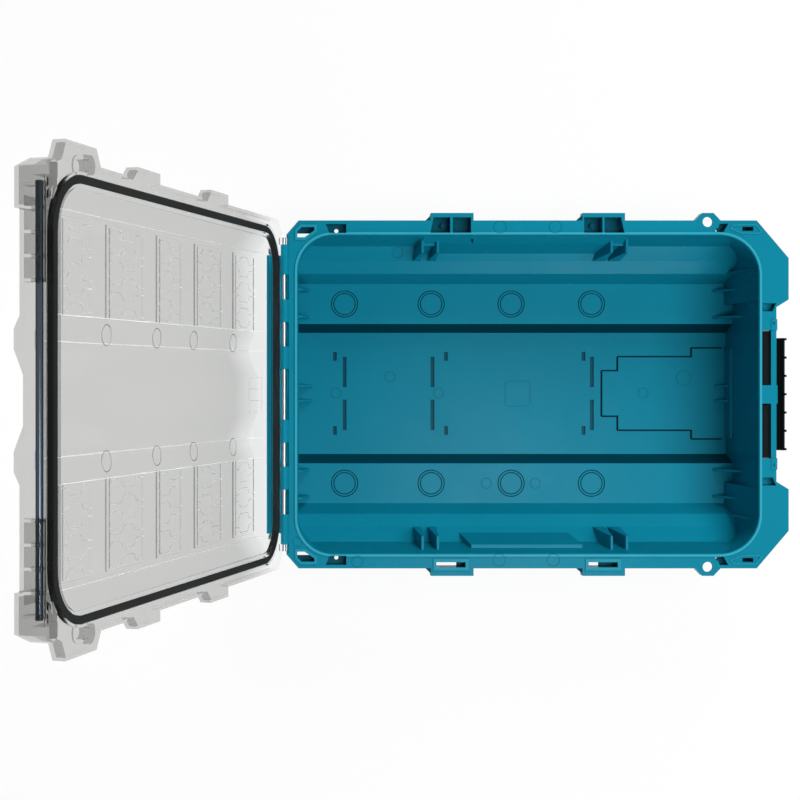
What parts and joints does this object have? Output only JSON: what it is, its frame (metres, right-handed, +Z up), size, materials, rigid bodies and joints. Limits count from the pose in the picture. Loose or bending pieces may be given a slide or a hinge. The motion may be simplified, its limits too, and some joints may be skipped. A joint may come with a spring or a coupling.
{
  "type": "tool organizer box",
  "caption": "Shallow stackable tool organizer box: moulded tub, clear hinged lid with foam seal and strike rod, swing latch and folding carry handle.",
  "frame": {"origin": "centre of the tub's flat underside", "axes": "+X towards the latch and handle end, +Y across the box, +Z up; the lid is open"},
  "size_m": [0.7401, 0.398, 0.621],
  "materials": {
    "tub_plastic": "moulded polypropylene, teal, fine satin",
    "clear_plastic": "clear polycarbonate, polished",
    "black_plastic": "moulded black plastic, satin",
    "grip_rubber": "soft grip rubber, matt",
    "seal_rubber": "foamed sealing rubber, matt",
    "steel": "drawn steel",
    "bright_steel": "bright plated steel"
  },
  "bodies": {
    "tub": {"base_tub": "tub_plastic", "hinge_rod": "steel", "latch_axle": "steel", "handle_pins": "steel"},
    "lid": {"clear_lid": "clear_plastic", "lid_gasket": "seal_rubber", "strike_rod": "bright_steel"},
    "latch": {"swing_latch": "black_plastic"},
    "handle": {"carry_handle": "black_plastic", "grip_sleeve": "grip_rubber"}
  },
  "joints": [
    {"name": "lid_hinge", "type": "hinge", "parent": "tub", "child": "lid", "pos_m": [-0.27, 0, 0.125], "axis": [0, 1, 0], "range_deg": [0, 109]},
    {"name": "latch_pivot", "type": "hinge", "parent": "tub", "child": "latch", "pos_m": [0.2515, 0, 0.116], "axis": [0, -1, 0], "range_deg": [0, 165]},
    {"name": "handle_pivot", "type": "hinge", "parent": "tub", "child": "handle", "pos_m": [0.25, 0, 0.062], "axis": [0, -1, 0], "range_deg": [0, 90]}
  ]
}
